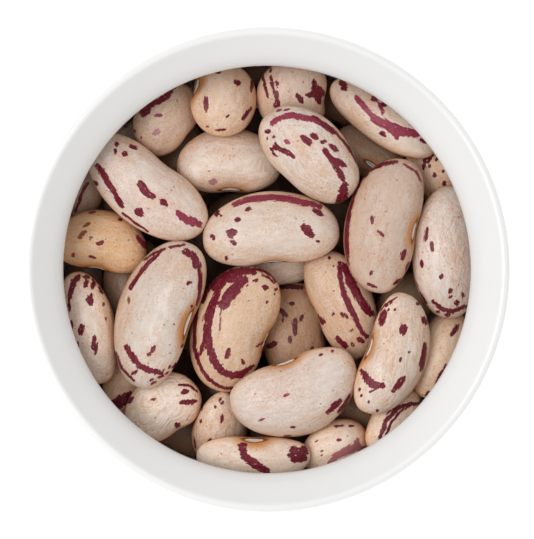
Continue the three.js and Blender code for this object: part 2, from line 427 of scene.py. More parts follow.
bean("S", (3.2, 22.4, 12.8), 95, (9.8, 9.4), roll=20, tip=15, bend=0.4, coat=(226, 198, 178), wine=[
    (0.6, (5.85, 23.7), (6.2, 22.9)), (1.2, (6.2, 22.9), (6.6, 22.3), (6.4, 21.7)),
    (0.7, (5.2, 22.0), (6.3, 22.0)), (0.7, (6.4, 21.7), (6.65, 21.1)),
    (4.1, 21.6, 1.5, 0.65, -50), (1.3, 23.4, 0.8, 0.35, 110), (0.45, 25.1, 0.6, 0.3, 90),
    (0.35, (0.4, 24.4), (0.8, 22.8)), (0.55, (0.8, 22.8), (1.15, 22.0), (1.4, 20.6)),
    (0.3, (-0.7, 25.0), (-0.5, 24.3), (-0.2, 22.8), (0.1, 21.7)), (0.95, 20.7, 0.8, 0.3, 95),
])
bean("G", (-20.7, 3.3, 12.9), -14, (11.8, 8), roll=-16, bend=1.2, coat=(230, 186, 142), amber=1.0,
     rust=[
    (-22.8, 5.6, 1.1, 0.3, 30), (-23.3, 4.4, 1.4, 0.5, 45), (-22.2, 4.0, 0.5, 0.4, 20),
    (-20.3, 3.9, 0.35, 0.3, 0),
], rose=[
    (-22.0, 7.2, 0.95, 0.25, 10), (-24.4, 1.9, 0.65, 0.4, 60), (-15.8, 3.45, 2.0, 0.6, -50),
], wine=[
    (-21.05, 3.3, 1.1, 0.45, 15), (-18.5, 6.3, 0.55, 0.4, -20), (-22.0, 1.55, 0.95, 0.3, -15),
])
# H's coat is partly painted light: lighter than its own colour, to lift the shade it lies in.
bean("H", (-22.9, -7.5, 12), -83, (14.6, 8.2), roll=85, coat=(239, 219, 203), veins=0.6, wine=[
    (-22.3, -3.85, 1.5, 0.85, 85), (-21.9, -1.9, 1.2, 0.5, 70), (-22.8, -1.8, 0.95, 0.55, 75),
    (-22.8, -0.95, 0.9, 0.45, 0), (-21.8, -1.1, 0.7, 0.45, 60), (-20.9, -2.6, 1.0, 0.5, -60),
    (-21.1, -1.8, 0.6, 0.4, 0), (-23.4, -7.6, 1.4, 0.7, 80), (-21.85, -9.25, 1.7, 0.55, 85),
    (-21.5, -10.0, 1.7, 0.25, 80), (-24.6, -6.9, 1.1, 0.35, 95), (-23.9, -9.5, 0.8, 0.45, 90),
    (0.7, (-23.7, -0.9), (-24.4, -1.6), (-24.9, -3.4)), (0.3, (-25.0, -3.4), (-24.9, -5.2)),
], rust=[(-20.6, -4.4, 0.5, 0.25, 80), (-20.3, -6.2, 0.4, 0.2, 80), (-20.2, -3.4, 0.3, 0.2, 60)])
# C's coat is partly painted light: lighter than its own colour, to lift the shade it lies in.
bean("C", (-5.0, 13.8, 13.4), 3, (13.3, 8.6), roll=-14, coat=(230, 211, 195), amber=0.8, veins=0.5,
     blush=[(-6.8, 11.07, 1.1, 0.6, 10)])
# Z's coat is partly painted light: lighter than its own colour, to lift the shade it lies in.
bean("Z", (-13.5, -18.4, 12.4), 32, (10.2, 8.2), roll=20, tip=6, bend=0.5, coat=(243, 225, 209),
     veins=1.0, wine=[
    (-17.2, -16.45, 1.0, 0.6, 50), (-18.35, -17.8, 1.9, 0.3, 110), (-14.3, -16.4, 0.7, 0.35, 20),
    (-10.35, -15.4, 1.0, 0.6, 20), (-9.94, -16.7, 2.2, 0.6, 5), (-11.3, -19.6, 0.75, 0.6, 40),
    (0.25, (-11.2, -14.5), (-9.8, -14.6), (-8.8, -15.4)),
])
# Y's coat is partly painted light: lighter than its own colour, to lift the shade it lies in.
bean("Y", (-6.7, -20.2, 13.2), 76, (10.2, 7.6), roll=60, tip=30, bend=0.3, taper=-0.25,
     coat=(232, 210, 190), veins=0.8, wine=[
    (-5.9, -16.4, 0.6, 0.3, 50), (-5.65, -16.8, 0.5, 0.3, 60), (-8.2, -17.5, 0.65, 0.2, 70),
    (-6.5, -17.3, 0.4, 0.25, 80), (-8.35, -19.1, 0.5, 0.3, 80), (-5.7, -18.8, 1.1, 0.4, 80),
    (-7.2, -21.8, 1.1, 0.45, 85), (-9.15, -21.8, 1.6, 0.35, 100),
])
bean("W", (9.3, -22.4, 12.6), 22, (9.0, 7.4), roll=75, bend=0.5, coat=(249, 225, 205), rose=[
    (9.1, -19.7, 1.3, 0.25, 10), (10.6, -19.7, 0.7, 0.25, 10), (9.1, -21.5, 0.6, 0.3, 10),
], pink=[
    (0.9, (8.0, -24.4), (8.7, -23.5), (10.1, -22.8), (11.4, -22.3), (12.4, -22.8)),
    (0.6, (11.2, -22.2), (11.4, -21.5)),
], rust=[(6.9, -22.9, 0.4, 0.2, 40), (6.9, -23.4, 0.4, 0.2, 40), (6.25, -21.6, 0.5, 0.2, 40)])
bean("M", (9.5, -4.3, 12.6), -67.6, (14.6, 7.9), roll=10, taper=-0.05, coat=(221, 190, 164), wine=[
    (7.9, 1.5, 0.4, 0.35, 0), (8.4, 0.4, 0.25, 0.2, 0), (8.4, -2.7, 0.3, 0.25, 0),
    (8.3, -5.6, 0.45, 0.4, 90), (9.75, -5.8, 1.1, 0.4, -35), (6.7, -6.3, 1.5, 0.65, -45),
    (9.4, -9.2, 2.0, 0.65, -45), (10.76, -9.5, 0.6, 0.4, -40), (11.8, -8.9, 1.1, 0.6, -30),
    (0.65, (9.2, 0.75), (9.27, -1.3), (9.75, -3.2), (10.5, -4.8), (11.3, -6.4), (11.97, -7.98),
     (12.6, -8.45)),
    (1.0, (9.75, 0.44), (10.5, -1.3), (11.3, -2.9), (12.3, -4.6), (13.1, -5.6)),
], rose=[(10.7, -7.66, 0.5, 0.45, 0)])

# The beans on top.
bean("J", (-4.0, -7.4, 10.8), 76, (16.5, 10.5), roll=-12, taper=0.04, coat=(219, 187, 158),
     amber=1.0, wine=[
    (1.0, (-1.7, -0.2), (-3.2, -0.2), (-5.0, -0.65), (-6.0, -1.3)),
    (1.4, (-5.0, -0.8), (-5.9, -1.5), (-6.5, -2.3)),
    (1.0, (-6.3, -1.8), (-6.35, -3.4), (-6.95, -4.7), (-7.4, -6.1), (-7.5, -7.6), (-7.45, -9.0),
     (-7.2, -10.2), (-6.7, -11.4), (-5.9, -12.6), (-4.8, -13.3)),
    (0.8, (-5.6, -12.9), (-4.7, -13.35), (-3.6, -13.3), (-2.6, -12.8)),
    (0.4, (-2.9, -12.9), (-1.7, -12.1)),
    (0.5, (-6.9, -1.7), (-7.65, -2.85), (-8.1, -4.1)),
    (1.35, (-3.5, -1.8), (-4.3, -2.75), (-4.95, -3.6), (-5.5, -4.6)),
    (0.6, (-2.6, -1.45), (-3.7, -2.0)), (0.75, (-2.8, -1.1), (-4.2, -1.25), (-5.3, -1.3)),
    (0.5, (-5.3, -3.9), (-6.3, -4.3)), (0.18, (-5.75, -4.8), (-5.9, -6.2), (-5.95, -7.7)),
    (0.35, (-1.5, 0.05), (-0.3, -0.2), (0.6, -0.75), (1.15, -1.5)),
    (0.25, (-0.6, -0.7), (0.2, -1.0), (0.9, -1.7)),
    (0.4, (-8.5, -2.9), (-9.1, -7.0), (-9.15, -9.8), (-8.8, -11.2), (-8.2, -12.6), (-7.35, -13.8),
     (-6.3, -14.6), (-5.2, -15.0), (-4.2, -14.9)),
    (0.4, (-7.8, -8.9), (-8.15, -9.6), (-8.45, -10.8)), (0.25, (-1.35, -9.75), (0.1, -8.75)),
    (-1.4, -1.35, 0.7, 0.4, 10), (-0.2, -2.27, 0.85, 0.7, -15), (0.0, -4.12, 0.45, 0.4, 90),
    (-4.92, -10.56, 1.5, 0.55, 70), (-3.0, -11.65, 0.9, 0.35, -58), (-2.5, -2.05, 0.35, 0.25, 30),
    (1.15, -2.5, 0.45, 0.3, 60), (0.95, -3.1, 0.35, 0.25, 60),
])
bean("D", (-15.3, 10.3, 9.8), 141, (17.8, 9.2), roll=10, bend=0.6, coat=(221, 205, 194), wine=[
    (-18.9, 15.8, 0.6, 0.5, 80), (-19.1, 14.9, 0.7, 0.5, 80), (-17.94, 14.57, 0.85, 0.65, 50),
    (-16.86, 15.45, 1.1, 0.45, -20), (-21.6, 10.88, 0.75, 0.45, -60), (-13.0, 8.44, 1.2, 0.7, -45),
    (-16.13, 7.26, 1.2, 0.9, -45), (-15.0, 7.58, 0.25, 0.2, 0), (-7.56, 8.28, 0.5, 0.3, -50),
    (0.7, (-21.37, 13.14), (-20.73, 12.18), (-20.1, 11.07), (-19.46, 10.12), (-18.99, 9.48)),
    (0.6, (-18.99, 9.17), (-18.2, 7.9)), (0.9, (-15.97, 10.9), (-15.3, 9.8), (-14.4, 9.17)),
    (0.25, (-18.2, 7.1), (-16.8, 5.99), (-15.0, 4.79)),
], rose=[(0.95, (-11.2, 7.1), (-10.1, 6.3), (-8.6, 5.7))])
bean("E", (5.8, 14.2, 9.0), -51, (14.8, 9.7), roll=35, bend=0.3, coat=(217, 206, 197), veins=0.7,
     rose=[
    (0.7, (0.6, 18.4), (1.3, 19.0), (2.4, 19.3), (3.4, 19.4), (4.7, 19.15), (5.9, 18.9),
     (6.6, 18.5)),
    (1.5, 20.05, 0.8, 0.2, 17), (2.5, 20.15, 0.8, 0.2, 12), (2.5, 16.05, 0.85, 0.5, -35),
], wine=[
    (4.9, 16.35, 1.8, 0.75, -42), (5.95, 16.75, 1.15, 0.6, -30),
    (0.6, (5.8, 19.2), (6.5, 18.8), (7.3, 18.2), (8.0, 17.7), (8.7, 17.1)),
    (0.4, (7.7, 17.6), (8.7, 17.1)),
    (0.35, (8.6, 17.2), (9.4, 16.4), (10.1, 15.6), (11.0, 14.2), (11.8, 12.7)),
    (0.75, (7.3, 15.0), (8.16, 13.9), (8.95, 12.66), (9.6, 11.4)), (0.5, (8.6, 13.9), (9.9, 13.1)),
    (1.1, (9.75, 10.6), (9.6, 9.3), (8.95, 8.2)),
    (0.6, (0.6, 15.2), (1.2, 15.4), (2.2, 14.9), (3.4, 14.2)), (1.0, 15.8, 0.6, 0.3, 90),
    (0.3, (0.7, 14.7), (1.3, 14.2)), (0.1, 17.4, 0.7, 0.5, 20), (0.05, 16.5, 0.45, 0.25, 70),
    (0.85, 16.7, 0.45, 0.3, 30), (7.1, 16.1, 0.8, 0.45, 15), (8.4, 15.3, 1.35, 0.65, -40),
])
bean("Q", (22.6, 2.3, 10.8), 91, (16.8, 8.8), roll=20, bend=0.6, coat=(225, 210, 200), veins=0.8,
     wine=[
    (20.1, 4.4, 1.8, 0.45, 82), (20.8, 2.9, 1.3, 0.45, 95), (19.5, 0.75, 1.1, 0.35, 90),
    (22.0, -0.9, 0.7, 0.5, 60), (23.1, -2.7, 0.6, 0.55, 60), (24.7, -3.2, 0.6, 0.45, 80),
    (23.1, -3.5, 0.5, 0.3, 40), (23.9, -4.2, 0.8, 0.6, 40), (21.5, -5.35, 0.45, 0.3, 0),
    (22.8, -5.75, 0.75, 0.45, 0), (0.5, (20.9, -4.0), (21.97, -4.96), (23.4, -5.3), (25.1, -4.6)),
    (0.4, (18.5, -1.3), (18.95, -2.7), (20.07, -4.2)),
])
bean("R", (15.0, 19.3, 11.0), 147, (15.8, 7.6), roll=75, coat=(224, 205, 190), wine=[
    (9.6, 23.3, 1.7, 0.8, 105), (13.56, 21.55, 0.8, 0.8, 0), (14.7, 20.76, 0.95, 0.65, 30),
    (14.6, 17.1, 0.95, 0.65, -45), (19.7, 16.2, 0.95, 0.5, 150),
], rose=[
    (0.7, (11.3, 21.7), (12.3, 20.4), (13.4, 19.2)),
    (1.2, (13.4, 19.2), (15.0, 18.2), (16.9, 17.4), (18.8, 17.1)),
    (0.35, (13.9, 21.2), (14.67, 19.8), (14.5, 19.5)), (0.7, (15.9, 17.4), (16.4, 16.6)),
])
# X's coat is partly painted light: lighter than its own colour, to lift the shade it lies in.
bean("X", (-1.7, -24.1, 11.8), 181, (14.4, 6.4), roll=-26, bend=0.6, coat=(232, 212, 194),
     amber=1.0, deep=[
    (1.4, (3.4, -22.8), (4.5, -23.7)), (1.2, (4.7, -22.7), (3.5, -23.9)),
    (0.8, (2.8, -23.5), (5.0, -23.0)),
], wine=[
    (-3.1, -22.4, 1.2, 1.0, 60),
    (1.0, (-3.1, -22.4), (-2.8, -23.5), (-1.2, -24.8), (0.06, -25.4)),
])
# A's coat is partly painted light: lighter than its own colour, to lift the shade it lies in.
bean("A", (-5.6, 21.9, 11.2), -100, (10, 8.6), roll=-25, tip=24, bend=0.4, coat=(230, 200, 175),
     amber=1.0, wine=[
    (-7.7, 20.9, 2.1, 0.55, 92), (-3.7, 23.55, 0.85, 0.8, 0), (-6.2, 24.9, 0.8, 0.45, 10),
    (-1.9, 23.2, 1.75, 0.35, 85), (-5.2, 20.85, 0.3, 0.25, 0), (-4.95, 19.3, 0.6, 0.2, 45),
    (-5.8, 17.6, 1.4, 0.25, 5), (-7.5, 18.0, 0.35, 0.2, 140),
    (0.35, (-2.0, 20.4), (-2.6, 19.6), (-3.1, 18.9)),
])
bean("F", (0.2, 5.6, 10.2), 4.5, (17.3, 9.6), roll=-8, bend=0.9, coat=(220, 202, 188), amber=0.6,
     rose=[
    (0.8, (-4.07, 8.2), (-2.2, 8.85), (0.4, 9.1), (2.9, 8.85), (4.8, 8.4), (6.6, 7.9)),
    (-0.9, 10.4, 1.2, 0.2, 0), (4.4, 9.8, 0.7, 0.2, 0),
], wine=[
    (6.4, 7.2, 1.5, 0.6, -30), (1.0, (4.6, 5.4), (5.1, 4.9), (5.6, 4.3)), (5.3, 5.2, 0.8, 0.5, -50),
    (6.4, 3.55, 0.5, 0.4, 0),
    (-6.3, 7.1, 0.8, 0.7, 60), (-5.8, 6.8, 0.3, 0.25, 0), (-2.4, 7.6, 0.85, 0.5, 30),
    (-3.7, 6.3, 0.7, 0.6, 30), (-4.45, 4.56, 1.3, 1.2, 0), (-4.2, 3.36, 0.85, 0.5, -30),
    (-6.8, 4.1, 0.75, 0.5, 110), (-5.1, 1.45, 0.5, 0.4, 90), (-5.2, 9.2, 0.9, 0.2, 30),
])
bean("P", (14.8, 5.7, 9.1), 80, (17.2, 9.8), roll=-24, bend=1.2, taper=0.04, coat=(203, 178, 161),
     amber=0.9, wine=[
    (0.7, (10.1, 0.6), (9.95, 3.6), (10.1, 6.4), (10.7, 9.2), (11.7, 11.3), (13.0, 12.7)),
    (0.45, (12.8, 12.5), (14.6, 13.3), (16.4, 13.6)),
    (13.24, 6.3, 1.1, 0.4, 100), (14.3, 4.56, 1.1, 0.35, -40), (17.2, 1.86, 1.5, 0.6, 72),
    (13.1, -0.4, 0.6, 0.4, 60), (13.2, -2.0, 1.4, 0.35, -20), (16.4, -1.56, 1.3, 0.4, 30),
    (17.8, 0.4, 1.3, 0.5, 65),
], rose=[(0.25, (17.2, 13.3), (18.8, 12.3), (19.4, 11.1))])
bean("I", (-13.6, -5.5, 9.2), 73.5, (19.3, 10.4), roll=-28, taper=0.05, coat=(213, 199, 188),
     amber=1.0, eye=(3.0, 0.8), wine=[
    (0.5, (-17.2, -2.4), (-16.4, -1.0), (-15.2, 0.6), (-13.6, 2.0)),
    (0.3, (-15.5, 1.2), (-14.5, 1.9), (-12.9, 2.6)), (0.3, (-12.3, 2.8), (-10.4, 3.1)),
    (0.9, (-10.3, 2.3), (-9.3, 1.7), (-8.67, 0.44)),
    (0.45, (-8.67, 0.44), (-8.35, -1.3), (-8.5, -3.2), (-8.8, -4.5)),
    (0.7, (-17.7, -9.7), (-17.1, -10.8), (-16.1, -12.1), (-14.9, -12.7), (-13.3, -13.06)),
    (0.3, (-19.1, -10.4), (-18.35, -12.4), (-16.8, -14.0)),
    (-9.1, 0.5, 1.0, 0.4, 100), (-9.8, -1.7, 0.75, 0.4, 30), (-9.5, -4.6, 0.4, 0.3, 90),
    (-11.7, -6.9, 0.3, 0.25, 0), (-14.3, -10.0, 0.85, 0.6, 60), (-14.86, -10.7, 0.6, 0.45, 60),
    (-16.7, -12.96, 0.9, 0.45, 30), (-14.5, -13.9, 0.7, 0.25, 20), (-10.7, -9.6, 0.6, 0.25, 60),
    (-11.7, -12.1, 0.8, 0.25, 60), (-12.6, -13.06, 0.5, 0.25, 40), (-13.4, -13.5, 0.8, 0.3, 20),
    (-14.3, -14.3, 0.8, 0.3, 20), (-12.3, -12.3, 0.5, 0.3, 60), (-13.1, -12.7, 0.4, 0.25, 40),
], rust=[(-17.4, -3.85, 0.95, 0.35, 90)])
bean("N", (3.6, -15.5, 9.4), 196, (16.6, 10.2), roll=-16, bend=1.4, coat=(219, 204, 194),
     amber=0.9, wine=[
    (3.3, -19.9, 0.7, 0.25, 0), (2.6, -21.0, 1.1, 0.2, 0), (6.8, -10.7, 0.6, 0.3, 20),
    (0.65, (7.7, -18.0), (9.2, -16.5)), (0.4, (9.0, -18.0), (9.8, -17.0), (10.4, -15.8)),
], rose=[(2.4, -15.85, 0.9, 0.4, 30), (-0.7, -18.9, 0.8, 0.3, 30), (8.25, -10.3, 0.4, 0.35, 0)])
bean("O", (16.1, -11.0, 8.8), 252, (15.8, 8.2), roll=-20, bend=1.2, coat=(223, 205, 190), amber=0.9,
     veins=0.7, wine=[
    (14.6, -6.07, 2.1, 0.8, 75), (15.1, -4.55, 0.4, 0.35, 30), (15.6, -4.2, 0.4, 0.3, 30),
    (16.1, -5.05, 0.4, 0.3, 30), (15.3, -5.1, 0.35, 0.3, 30), (17.2, -7.56, 1.3, 1.0, 80),
    (19.85, -6.45, 1.1, 0.6, -65), (19.0, -4.3, 0.5, 0.4, -40), (16.8, -11.4, 0.65, 0.3, 80),
    (17.9, -10.4, 0.3, 0.25, 70), (13.3, -15.3, 0.9, 0.25, 20), (11.8, -12.7, 0.4, 0.3, 60),
    (11.65, -15.1, 0.4, 0.3, 60), (11.9, -15.9, 0.4, 0.3, 60), (12.8, -16.7, 0.4, 0.3, 60),
    (13.9, -17.8, 0.4, 0.3, 60), (0.6, (19.9, -9.4), (19.75, -10.8), (19.4, -12.7)),
    (0.9, (12.2, -13.06), (12.76, -14.0), (13.56, -14.6), (14.5, -14.6)),
    (0.7, (15.9, -15.3), (16.6, -14.5), (17.2, -13.7)),
    (0.15, (16.4, -3.5), (15.0, -4.3), (14.2, -5.3)),
])


def bean_points(rings, angles, length, width, thickness, bend_in, taper):
    """Points of a bean's skin about its middle: long along X, back towards +Y, eye on -Y."""
    along = np.linspace(0, math.pi, rings + 1)[:, None]
    around = np.asarray(angles)[None, :]
    u = -np.cos(along)
    girth = np.sin(along) ** bluntness * (1 + taper * u)
    facing_eye = np.clip(-np.cos(around), 0, 1) ** eye_hollow_turn
    dip = eye_hollow * np.exp(-(u / eye_hollow_reach) ** 2) * facing_eye
    return np.stack([
        length / 2 * u + 0 * around,
        width / 2 * girth * np.cos(around) * (1 - dip) + bend_in * (bend_centre - u * u),
        thickness / 2 * girth * np.sin(around),
    ], -1)


def turning(axis, degrees):
    """The matrix of a turn about X, Y or Z."""
    c, s = math.cos(math.radians(degrees)), math.sin(math.radians(degrees))
    i, j = ((1, 2), (2, 0), (0, 1))[axis]
    matrix = np.eye(3)
    matrix[i, i] = matrix[j, j] = c
    matrix[i, j], matrix[j, i] = -s, s
    return matrix


def overlap(points, length, width, thickness, bend_in, taper):
    """How deep points lie inside a bean, and which way is out of it."""
    x, y, z = points[..., 0], points[..., 1], points[..., 2]
    half = length / 2
    u = x / half
    k = 1 + taper * np.clip(u, -1, 1)
    y = y - bend_in * (bend_centre - u * u)
    facing_eye = np.where(y < 0, -y / np.sqrt(y * y + (z * width / thickness) ** 2 + 1e-9), 0)
    dip = eye_hollow * np.exp(-(u / eye_hollow_reach) ** 2) * facing_eye ** eye_hollow_turn
    deep = width / 2 * k * (1 - dip)
    thick = thickness / 2 * k
    squares = (y / deep) ** 2 + (z / thick) ** 2 + 1e-12
    level = squares ** (1 / bluntness) + u * u
    rise = 2 / bluntness * squares ** (1 / bluntness - 1)
    gy = rise * y / deep ** 2
    outward = np.stack([2 * u / half + gy * 2 * bend_in * u / half, gy, rise * z / thick ** 2], -1)
    steepness = np.linalg.norm(outward, axis=-1) + 1e-9
    return (1 - level) / steepness, outward / steepness[..., None]


def small_turn(vector):
    """The matrix of a small turn about a vector, by its length in radians."""
    angle = np.linalg.norm(vector)
    if angle < 1e-9:
        return np.eye(3)
    x, y, z = vector / angle
    cross = np.array([[0, -z, y], [z, 0, -x], [-y, x, 0]])
    return np.eye(3) + math.sin(angle) * cross + (1 - math.cos(angle)) * cross @ cross


def settle(bed_level, rounds=440, wall_gap=0.06, free_from=0.85):
    """Lets the beans push each other, the wall and the bed until none overlap.

    Deeper beans give way more than the top ones. All but the last rounds draw each bean towards
    an aim, which moves against what has pushed the bean away from its home.
    """
    pull, turn_back, correction, largest_correction, aim_reach = 0.06, 0.04, 0.012, 0.02, 1.2
    give, outer_give, turn_give, largest_shift, largest_turn = 0.6, 0.7, 0.6, 0.5, 0.05
    probe, steepest, firm_depth, soft_depth, least_ease = 0.2, 1.5, 7, 15, 0.15
    sides, roundness, least_inertia, near_gap, look_every = 12, 0.12, 4, 0.5, 8
    wall = inner_wall()[::-1]
    forms = [b["form"] for b in beans]
    angles = np.arange(sides) * 2 * math.pi / sides
    skins = [bean_points(sides, angles, *f).reshape(-1, 3) for f in forms]
    middles = np.array([b["home"] for b in beans])
    depths = bowl_height - middles[:, 2]
    ease = np.clip((depths - firm_depth) / (soft_depth - firm_depth), least_ease, 1)
    turns = [turning(2, b["turn"]) @ turning(1, -b["tip"]) @ turning(0, b["roll"]) for b in beans]
    home, home_turns = middles.copy(), list(turns)
    aim = home.copy()
    reach = np.array([f[0] / 2 for f in forms])
    inertia = roundness * (2 * reach) ** 2 + least_inertia
    for step in range(rounds):
        held = step < rounds * free_from
        if held:
            middles += pull * (aim - middles)
            aim += np.clip(correction * (home - middles), -largest_correction, largest_correction)
            aim = home + np.clip(aim - home, -aim_reach, aim_reach)
        skin = [s @ t.T + m for s, t, m in zip(skins, turns, middles)]
        if step % look_every == 0:
            gaps = np.linalg.norm(middles[:, None] - middles[None], axis=-1)
            gaps = gaps - reach[:, None] - reach
            near = [(i, j) for i, j in np.argwhere(gaps < near_gap) if i != j]
        shift = np.zeros_like(middles)
        twist = np.zeros_like(middles)

        def push_at(i, spot, push):
            shift[i] += push
            twist[i] += np.cross(spot - middles[i], push) / inertia[i]

        for i, j in near:
            depth, outward = overlap((skin[i] - middles[j]) @ turns[j], *forms[j])
            worst = depth.max()
            if worst <= 0:
                continue
            deep = depth > worst / 2
            weight = (depth[deep] / depth[deep].sum())[:, None]
            normal = turns[j] @ (weight * outward[deep]).sum(0)
            push = normal / np.linalg.norm(normal) * worst * give
            spot = (weight * skin[i][deep]).sum(0)
            share = ease[i] / (ease[i] + ease[j])
            push_at(i, spot, push * share)
            push_at(j, spot, push * (share - 1))
        for i, points in enumerate(skin):
            radius = np.hypot(points[:, 0], points[:, 1])
            over = radius - np.interp(points[:, 2], wall[:, 1], wall[:, 0]) + wall_gap
            k = over.argmax()
            if over[k] > 0:
                levels = points[k, 2] + np.array((probe, -probe))
                above, below = np.interp(levels, wall[:, 1], wall[:, 0])
                slope = np.clip((above - below) / (2 * probe), -steepest, steepest)
                inward = np.array([-points[k, 0] / radius[k], -points[k, 1] / radius[k], slope])
                push_at(i, points[k], inward * over[k] * outer_give / (1 + slope * slope))
            k = points[:, 2].argmin()
            if points[k, 2] < bed_level:
                push_at(i, points[k], np.array([0, 0, (bed_level - points[k, 2]) * outer_give]))
        middles += np.clip(shift, -largest_shift, largest_shift)
        for i in range(len(beans)):
            turn = np.clip(turn_give * twist[i], -largest_turn, largest_turn)
            turns[i] = small_turn(turn) @ turns[i]
            if held:
                left, _, right = np.linalg.svd(turns[i] + turn_back * (home_turns[i] - turns[i]))
                turns[i] = left @ right
    for b, middle, turn in zip(beans, middles, turns):
        b["middle"], b["turned"] = middle, turn


def as_stroke(mark):
    """The width of a mark and the points that it runs through; a spot is a short stroke."""
    if isinstance(mark[1], tuple):
        return mark[0], np.array(mark[1:], float)
    x, y, length, width, angle = mark
    round_ends, shortest = 0.7, 0.02
    reach = max(length - round_ends * width, shortest) / 2
    step = reach * np.array((math.cos(math.radians(angle)), math.sin(math.radians(angle))))
    return width, np.array([(x, y) - step, (x, y) + step])


def stroke_distance(points, stroke, width):
    """Distance from the edge of a brush stroke, which narrows to its ends; negative inside."""
    end_share, middle_gain, blunt_end = 0.72, 0.36, 0.02
    best = np.full(len(points), np.inf)
    pieces = np.linalg.norm(np.diff(stroke, axis=0), axis=1)
    total = pieces.sum() + 1e-6
    run = 0.0
    for start, end, length in zip(stroke[:-1], stroke[1:], pieces):
        t = np.clip((points - start) @ (end - start) / (length * length + 1e-9), 0, 1)
        gap = np.linalg.norm(points - start - t[:, None] * (end - start), axis=1)
        place = np.clip((run + t * length) / total, blunt_end, 1 - blunt_end)
        half = width / 2 * (end_share + middle_gain * np.sin(math.pi * place) ** 0.6)
        best = np.minimum(best, gap - half)
        run += length
    return best


def inked(b, seen, facing, local, chance):
    """Where a bean is marked: distance to the nearest mark, its ink and how ragged its edge is.

    The side that faces up has the listed marks, and the rest of the skin has random ones.
    """
    far, lowest_facing = 9.0, 0.12
    distance = np.full(len(seen), far)
    ink = np.tile(INKS["wine"], (len(seen), 1))
    rag = np.full(len(seen), 0.1)

    def add(found, colour, width):
        nearer = found < distance
        distance[nearer] = found[nearer]
        ink[nearer] = colour
        rag[nearer] = min(0.08 + 0.22 * width, 0.3)

    hidden = np.clip((lowest_facing - facing) / lowest_facing, 0, 1)
    for name, marks in b["marks"].items():
        for mark in marks:
            width, stroke = as_stroke(mark)
            add(stroke_distance(seen, stroke, width) + far * hidden, INKS[name], width)
    length, width, thickness = b["form"][:3]
    around = np.arctan2(local[:, 2], local[:, 1]) * (width + thickness) / 4
    girdle = math.pi * (width + thickness) / 2
    shown = far * (1 - hidden)
    for _ in range(chance.integers(9, 17)):
        middle = chance.uniform(-0.42, 0.42) * length
        side = chance.uniform(0, girdle)
        reach = chance.uniform(0.3, 2.6)
        drift = chance.uniform(-0.35, 0.35) * reach
        broad = chance.uniform(0.25, 0.8)
        across = (around - side + girdle / 2) % girdle - girdle / 2
        stroke = np.array([
            (middle - reach, -drift), (middle, chance.uniform(-0.2, 0.2)), (middle + reach, drift),
        ])
        colour = INKS["rose" if chance.random() < 0.3 else "wine"]
        found = stroke_distance(np.stack([local[:, 0], across], -1), stroke, broad)
        add(found + shown, colour, broad)
    return distance, ink, rag


def facing_up(local, b):
    """How far points of a bean's skin face up: 1 at its top, 0 on its flanks, -1 underneath."""
    outward = (local / np.array(b["form"][:3]) ** 2) @ b["turned"].T
    return outward[:, 2] / (np.linalg.norm(outward, axis=1) + 1e-9)


